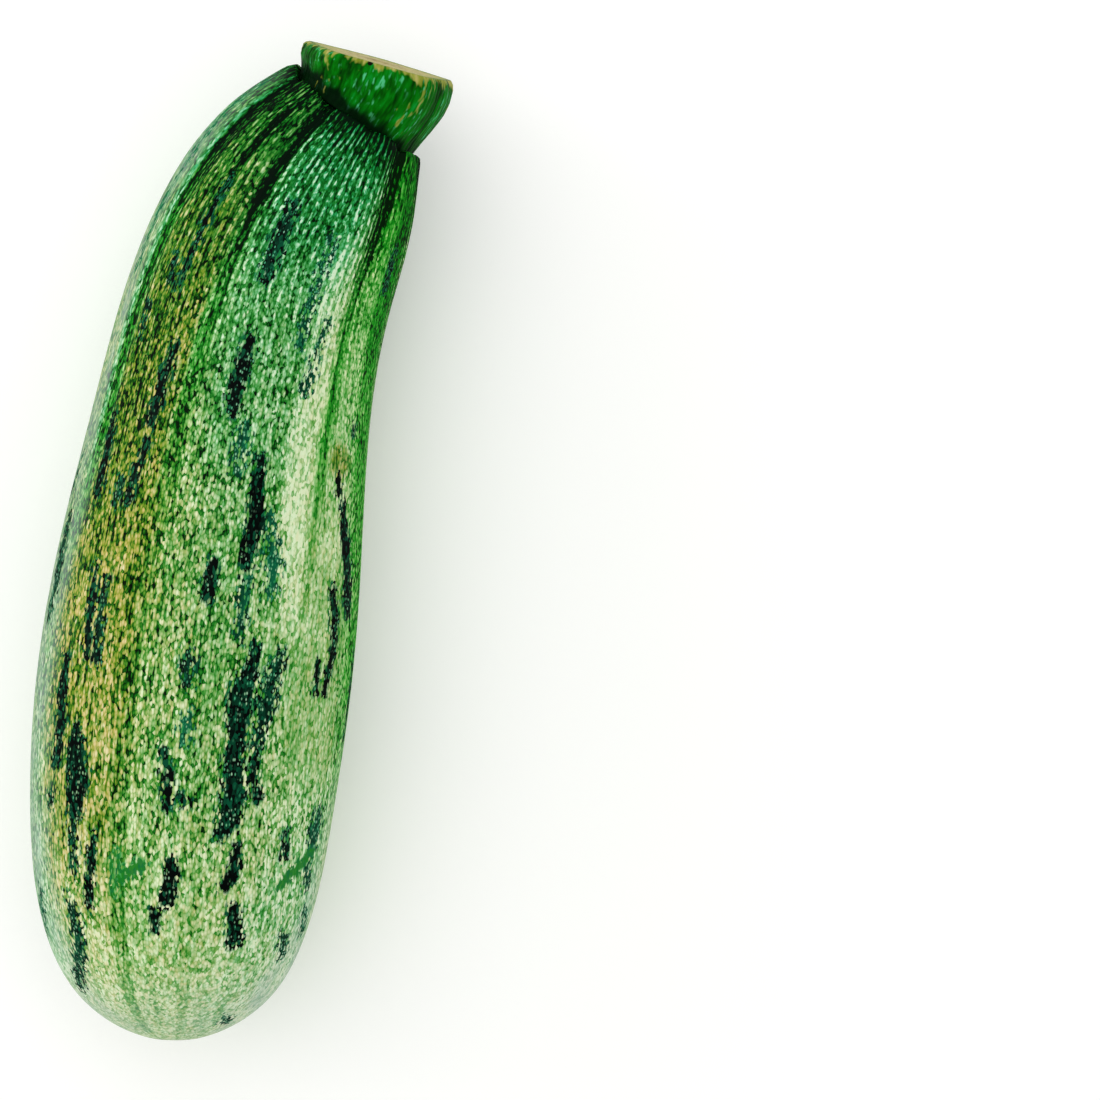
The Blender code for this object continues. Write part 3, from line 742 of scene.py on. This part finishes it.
def waxy_skin():
    """Zucchini skin, grown and waxy: a matt skin under a thin coat of wax.

    The skin is a mosaic of cells, 0.5 mm wide and 0.95 long, each pale in its middle and more or
    less green than the next. Dashes 4 mm long and faint lines 9 mm long run along the fruit
    through them. At the neck threads stand up, with pale dashes on their crests and dark valleys
    between. The streaks end cell by cell, which makes their edges ragged, and crowds of pores in
    them let the skin show through."""
    m, shader = new_material("zucchini skin, grown and waxy")
    straight = wire(m, "Attribute", out="Vector", attribute_name="straight")
    names = ("pigment", "golden", "teal", "vivid", "painted_sheen", "neck", "drift", "inside", "ink",
             "break_up", "speckle")
    pigment, golden, teal, vivid, painted_sheen, neck, drift, inside, ink, break_up, speckle = (
        wire(m, "Attribute", out="Fac", attribute_name=name) for name in names)

    # Each cell has its reach, the distance from its middle, and a tone, chance and warmth of its own.
    cell_scale = (1 / CELL_WIDTH, 1 / CELL_WIDTH, 1 / CELL_LENGTH)
    cell_place = wire(m, "Mapping", {"Vector": straight, "Scale": cell_scale})
    reach = wire(m, "TexVoronoi", {"Vector": cell_place, "Scale": 1.0, "Randomness": 0.95})
    cell = wire(m, "SeparateColor", (reach.node.outputs["Color"],))
    tone, chance, warmth = cell.node.outputs
    threads = grain(m, straight, 0.6, 4.2)
    patches = grain(m, straight, 5.0, 11.0)

    # Pigment of a cell: more or less by its tone, paler in its middle, more where a dash runs.
    squared = wire(m, "Math", (tone, tone), operation="MULTIPLY")
    fleck = wire(m, "Math", (squared, 0.72, -0.55), **MULTIPLY_ADD)
    fleck = wire(m, "Math", (reach, 0.52, fleck), **MULTIPLY_ADD)
    level = wire(m, "Math", (fleck, speckle, pigment), **MULTIPLY_ADD)
    dash = wire(m, "MapRange", (threads, 0.50, 0.66), **SMOOTH)
    dash_depth = wire(m, "Math", (golden, 0.26, 0.18), **MULTIPLY_ADD)
    dash = wire(m, "Math", (dash, dash_depth), operation="MULTIPLY")
    level = wire(m, "Math", (dash, speckle, level), **MULTIPLY_ADD)
    patch = wire(m, "Math", (patches, 0.30, -0.15), **MULTIPLY_ADD)
    level = wire(m, "Math", (level, patch))
    lines = wire(m, "Math", (grain(m, straight, 0.9, 9.0), 0.5), operation="SUBTRACT")
    line_depth = wire(m, "Math", (golden, 0.20, 0.30), **MULTIPLY_ADD)
    line_depth = wire(m, "Math", (line_depth, speckle), operation="MULTIPLY")
    level = wire(m, "Math", (lines, line_depth, level), **MULTIPLY_ADD)

    # The neck's threads: their crests carry pale dashes, and the valleys between are dark.
    split = wire(m, "SeparateXYZ", (straight,))
    turn = wire(m, "Math", (split, split.node.outputs["Y"]), operation="ARCTAN2")
    drift = wire(m, "Math", (grain(m, straight, 6.0, 22.0), 5.0, drift), **MULTIPLY_ADD)
    wave = wire(m, "Math", (turn, float(THREADS), drift), **MULTIPLY_ADD)
    wave = wire(m, "Math", (wave,), operation="COSINE")
    crest = wire(m, "MapRange", (wave, -0.5, 0.75), **SMOOTH)
    pale = wire(m, "MapRange", (grain(m, straight, 1.0, 1.4), 0.43, 0.59), **SMOOTH)
    pale = wire(m, "Math", (crest, pale), operation="MULTIPLY")
    relief = wire(m, "Math", (crest, -0.12, 0.18), **MULTIPLY_ADD)
    relief = wire(m, "Math", (pale, -0.46, relief), **MULTIPLY_ADD)
    level = wire(m, "Math", (relief, neck, level), **MULTIPLY_ADD, use_clamp=True)

    # Each tint has its own greens. Cells differ a little in tint, and green lines run through gold.
    colour = wire(m, "ValToRGB", (level,), stops=PLAIN_GREENS)
    gilded = wire(m, "Math", (lines, 1.1, golden), **MULTIPLY_ADD)
    tints = ((gilded, warmth, 0.36, GOLDEN_GREENS), (teal, chance, 0.24, TEAL_GREENS),
             (vivid, tone, 0.16, VIVID_GREENS))
    for share, sway, spread, greens in tints:
        sway = wire(m, "Math", (sway, spread, -0.5 * spread), **MULTIPLY_ADD)
        share = wire(m, "Math", (share, sway), use_clamp=True)
        tint = wire(m, "ValToRGB", (level,), stops=greens)
        colour = wire(m, "Mix", {"Factor": share, "A": colour, "B": tint}, **COLOUR_MIX)

    # Painted sheen: a greyish film, standing for reflected light, greys the pigment under it, thicker in
    # patches.
    sheen_share = wire(m, "MapRange", (patches, 0.3, 0.7, 0.55, 1.35))
    sheen_share = wire(m, "Math", (sheen_share, painted_sheen), operation="MULTIPLY")
    skin = wire(m, "Mix", {"Factor": sheen_share, "A": colour, "B": linear(PAINTED_SHEEN_GREY)}, **COLOUR_MIX)

    # A streak's field, pushed in and out cell by cell.
    push = wire(m, "Math", (chance, 0.5), operation="SUBTRACT")
    ragged = wire(m, "Math", (push, break_up, inside), **MULTIPLY_ADD)
    comb = wire(m, "Math", (threads, 0.5), operation="SUBTRACT")
    ragged = wire(m, "Math", (comb, 2.0, ragged), **MULTIPLY_ADD)
    fringe = wire(m, "MapRange", (ragged, -0.75, -0.2, 0.0, 0.8), **SMOOTH)
    core = wire(m, "MapRange", (ragged, -0.26, -0.12), **SMOOTH)
    inky = wire(m, "MapRange", (ink, 0.35, 0.50))
    cover = wire(m, "Math", (inky, 0.12, 0.88), **MULTIPLY_ADD)
    core = wire(m, "Math", (core, cover), operation="MULTIPLY")
    fringe_ink = wire(m, "ValToRGB", (ink,), stops=FRINGE_INKS)
    colour = wire(m, "Mix", {"Factor": fringe, "A": skin, "B": fringe_ink}, **COLOUR_MIX)
    mottled = wire(m, "Math", (push, 0.3, ink), **MULTIPLY_ADD)
    streak_ink = wire(m, "ValToRGB", (mottled,), stops=INKS)
    teal_cell = wire(m, "MapRange", (tone, 0.72, 0.9, 0.0, 0.6))
    streak_ink = wire(m, "Mix", {"Factor": teal_cell, "A": streak_ink, "B": linear(TEAL_CELL)}, **COLOUR_MIX)
    colour = wire(m, "Mix", {"Factor": core, "A": colour, "B": streak_ink}, **COLOUR_MIX)
    # The skin shows through the ink at pores in the middle of cells, in crowds.
    crowd = wire(m, "Math", (patches, 1.2, warmth), **MULTIPLY_ADD)
    crowd = wire(m, "Math", (ink, -1.2, crowd), **MULTIPLY_ADD)
    crowd = wire(m, "MapRange", (crowd, -0.10, 0.28))
    pore = wire(m, "MapRange", (reach, 0.40, 0.18))
    pore = wire(m, "Math", (pore, crowd), operation="MULTIPLY")
    pore = wire(m, "Math", (pore, inky), operation="MULTIPLY")
    pore = wire(m, "Math", (pore, core), operation="MULTIPLY")
    pale_skin = wire(m, "Mix", {"Factor": 0.65, "A": skin, "B": linear(PORE)}, **COLOUR_MIX)
    colour = wire(m, "Mix", {"Factor": pore, "A": colour, "B": pale_skin}, **COLOUR_MIX)

    # The blossom scar is a corky disc, darker and ragged at its rim.
    across = wire(m, "CombineXYZ", (split, split.node.outputs["Y"], 0.0))
    away = wire(m, "VectorMath", (across,), out="Value", operation="LENGTH")
    crumbs = grain(m, straight, 0.9, 0.9, 3.0)
    rim = wire(m, "Math", (crumbs, 1.6, away), **MULTIPLY_ADD)
    scar = wire(m, "MapRange", (rim, SCAR_RADIUS + 1.0, SCAR_RADIUS + 0.6))
    cork_tone = wire(m, "Math", (away, -0.05, crumbs), **MULTIPLY_ADD)
    cork = wire(m, "ValToRGB", (cork_tone,), stops=CORK)
    colour = wire(m, "Mix", {"Factor": scar, "A": colour, "B": cork}, **COLOUR_MIX)

    bump = wire(m, "Bump", {"Height": reach, "Strength": 0.3, "Distance": 0.06 * MM}, invert=True)
    links = m.node_tree.links
    links.new(colour, shader.inputs["Base Color"])
    links.new(bump, shader.inputs["Normal"])
    shader.inputs["Roughness"].default_value = 0.5
    shader.inputs["IOR"].default_value = 1.45
    shader.inputs["Specular IOR Level"].default_value = 0.0
    shader.inputs["Coat Weight"].default_value = 0.07
    shader.inputs["Coat Roughness"].default_value = 0.38
    shader.inputs["Coat IOR"].default_value = 1.45
    return m


def stem_rind():
    """Zucchini stem, grown and fibrous: deep green, with pale dashes and scuffed ridges.

    Fibres 0.7 mm wide run up it. Where it grows out of the fruit it is painted nearly black, as shade
    in the crease there, and it dries to tan along the edge of the cut."""
    m, shader = new_material("zucchini stem rind, grown and fibrous")
    straight = wire(m, "Attribute", out="Vector", attribute_name="straight")
    height, ridge = (wire(m, "Attribute", out="Fac", attribute_name=name) for name in ("height", "ridge"))
    fibres, patches = grain(m, straight, 0.7, 2.8), grain(m, straight, 3.0, 4.5)
    scuffs = grain(m, straight, 1.1, 2.6)
    tone = wire(m, "Math", (fibres, 0.5), operation="SUBTRACT")
    tone = wire(m, "Math", (tone, 0.9, patches), **MULTIPLY_ADD)
    colour = wire(m, "ValToRGB", (tone,), stops=(
        (0.22, "#012c02"), (0.40, "#024d03"), (0.56, "#036506"), (0.70, "#047710"), (0.86, "#0a8c2e")))
    # Pale dashes, in crowds.
    dashes = wire(m, "MapRange", (grain(m, straight, 0.6, 1.8), 0.58, 0.70, 0.0, 0.7))
    crowd = wire(m, "MapRange", (patches, 0.46, 0.60))
    dashes = wire(m, "Math", (dashes, crowd), operation="MULTIPLY")
    colour = wire(m, "Mix", {"Factor": dashes, "A": colour, "B": linear("#58c78e")}, **COLOUR_MIX)
    # Painted shade at the foot, where the stem grows out of the fruit, reaching higher on one side.
    foot = wire(m, "Math", (patches, 0.40, height), **MULTIPLY_ADD)
    foot = wire(m, "Math", (wire(m, "SeparateXYZ", (straight,)), 0.014, foot), **MULTIPLY_ADD)
    foot = wire(m, "MapRange", (foot, 0.36, 0.58, 0.95, 0.0), **SMOOTH)
    colour = wire(m, "Mix", {"Factor": foot, "A": colour, "B": linear("#011405")}, **COLOUR_MIX)
    # Scuffs on the ridges, the dried edge along the cut, and a dark speck on it.
    scuffed = wire(m, "Math", (ridge, 0.24, scuffs), **MULTIPLY_ADD)
    scuffed = wire(m, "Math", (height, 0.20, scuffed), **MULTIPLY_ADD)
    scuffed = wire(m, "MapRange", (scuffed, 0.90, 0.99, 0.0, 0.8))
    top = wire(m, "Math", (scuffs, 0.40, height), **MULTIPLY_ADD)
    top = wire(m, "MapRange", (top, 1.13, 1.19))
    dry = wire(m, "ValToRGB", (fibres,), stops=((0.3, "#74801c"), (0.5, "#8f963c"), (0.7, "#ada65e")))
    for share in (scuffed, top):
        colour = wire(m, "Mix", {"Factor": share, "A": colour, "B": dry}, **COLOUR_MIX)
    away = wire(m, "VectorMath", (straight, STEM_SPECK), out="Value", operation="DISTANCE")
    speck = wire(m, "MapRange", (away, 0.6, 0.45))
    colour = wire(m, "Mix", {"Factor": speck, "A": colour, "B": linear("#0c0a04")}, **COLOUR_MIX)
    bump = wire(m, "Bump", {"Height": tone, "Strength": 0.6, "Distance": 0.2 * MM})
    links = m.node_tree.links
    links.new(colour, shader.inputs["Base Color"])
    links.new(bump, shader.inputs["Normal"])
    shader.inputs["Roughness"].default_value = 0.5
    shader.inputs["IOR"].default_value = 1.45
    shader.inputs["Specular IOR Level"].default_value = 0.02
    return m


def stem_cut():
    """Zucchini stem, cut and dried: a green rind line, tan fibres in ropes, a dull pith.

    The ropes are about 1.9 mm apart, and the grime lies in specks of about 1.1 mm."""
    m, shader = new_material("zucchini stem flesh, cut and dried")
    reach = wire(m, "Attribute", out="Fac", attribute_name="reach")
    place = wire(m, "TexCoord", out="Object")
    ropes = wire(m, "TexVoronoi", {"Vector": place, "Scale": 1 / (1.9 * MM)})
    grime = wire(m, "TexNoise", {"Vector": place, "Scale": 1 / (1.1 * MM), "Detail": 3.0})
    colour = wire(m, "ValToRGB", (reach,), stops=(
        (0.0, "#a09258"), (0.22, "#b0a368"), (0.5, "#c0b478"), (0.84, "#b3ae66"), (0.93, "#93a046"),
        (0.985, "#256a16")))
    dots = wire(m, "MapRange", (ropes, 0.15, 0.45, 0.45, 0.0))
    colour = wire(m, "Mix", {"Factor": dots, "A": colour, "B": linear("#8a7342")}, **COLOUR_MIX)
    shade = wire(m, "MapRange", (grime, 0.3, 0.7, 0.72, 1.0))
    colour = wire(m, "Mix", {"Factor": 1.0, "A": colour, "B": shade}, blend_type="MULTIPLY", **COLOUR_MIX)
    bump = wire(m, "Bump", {"Height": grime, "Strength": 0.5, "Distance": 0.2 * MM})
    links = m.node_tree.links
    links.new(colour, shader.inputs["Base Color"])
    links.new(bump, shader.inputs["Normal"])
    shader.inputs["Roughness"].default_value = 0.8
    return m


# Stage

def add_light(name, place, size, watts, aim=(0.0, 0.0, 0.02)):
    """A round soft light, in metres, that shines towards its aim."""
    light = bpy.data.lights.new(name, "AREA")
    light.shape, light.size, light.energy = "DISK", size, watts
    lamp = bpy.data.objects.new(name, light)
    lamp.location = place
    lamp.rotation_euler = (Vector(aim) - Vector(place)).to_track_quat("-Z", "Y").to_euler()
    bpy.context.scene.collection.objects.link(lamp)


def add_stage():
    """A pale matt floor that glows a little, an even white surround and two large soft lights."""
    mesh = bpy.data.meshes.new("floor")
    corners = [(x * FLOOR_REACH, y * FLOOR_REACH, 0) for x, y in ((-1, -1), (1, -1), (1, 1), (-1, 1))]
    mesh.from_pydata(corners, [], [(0, 1, 2, 3)])
    floor = bpy.data.objects.new("floor", mesh)
    floor.location.z = -FLOOR_DROP * MM
    material, shader = new_material("pale floor, matt")
    shader.inputs["Base Color"].default_value = linear("#f4f4f2")
    shader.inputs["Roughness"].default_value = 0.9
    shader.inputs["Specular IOR Level"].default_value = 0.0
    shader.inputs["Emission Color"].default_value = linear("#ffffff")
    shader.inputs["Emission Strength"].default_value = 0.12
    mesh.materials.append(material)
    bpy.context.scene.collection.objects.link(floor)
    world = bpy.data.worlds.new("surround")
    world.use_nodes = True
    world.node_tree.nodes["Background"].inputs["Color"].default_value = linear("#ffffff")
    world.node_tree.nodes["Background"].inputs["Strength"].default_value = 0.8
    bpy.context.scene.world = world
    add_light("key_light", (-0.2, 0.25, 0.9), 1.2, 3.0)
    add_light("side_light", (-0.75, 0.1, 0.28), 0.5, 1.2)


def add_camera():
    lens = bpy.data.cameras.new("camera")
    lens.lens, lens.sensor_width = CAMERA_LENS, CAMERA_SENSOR
    lens.clip_start, lens.clip_end = 0.01, 20.0
    camera = bpy.data.objects.new("camera", lens)
    camera.location = Vector(CAMERA_AT) * MM
    camera.rotation_euler = Euler((0.0, 0.0, CAMERA_ROLL))
    bpy.context.scene.collection.objects.link(camera)
    bpy.context.scene.camera = camera


def main():
    fruit = add_fruit(waxy_skin())
    stem = add_stem(stem_rind(), stem_cut())
    for piece, node, slot in ((fruit, "fruit", "skin"), (stem, "stem", "stem")):
        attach(piece, "root")
        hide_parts(node)
    add_stage()
    add_camera()
    bpy.context.scene.view_settings.view_transform = "Standard"


main()
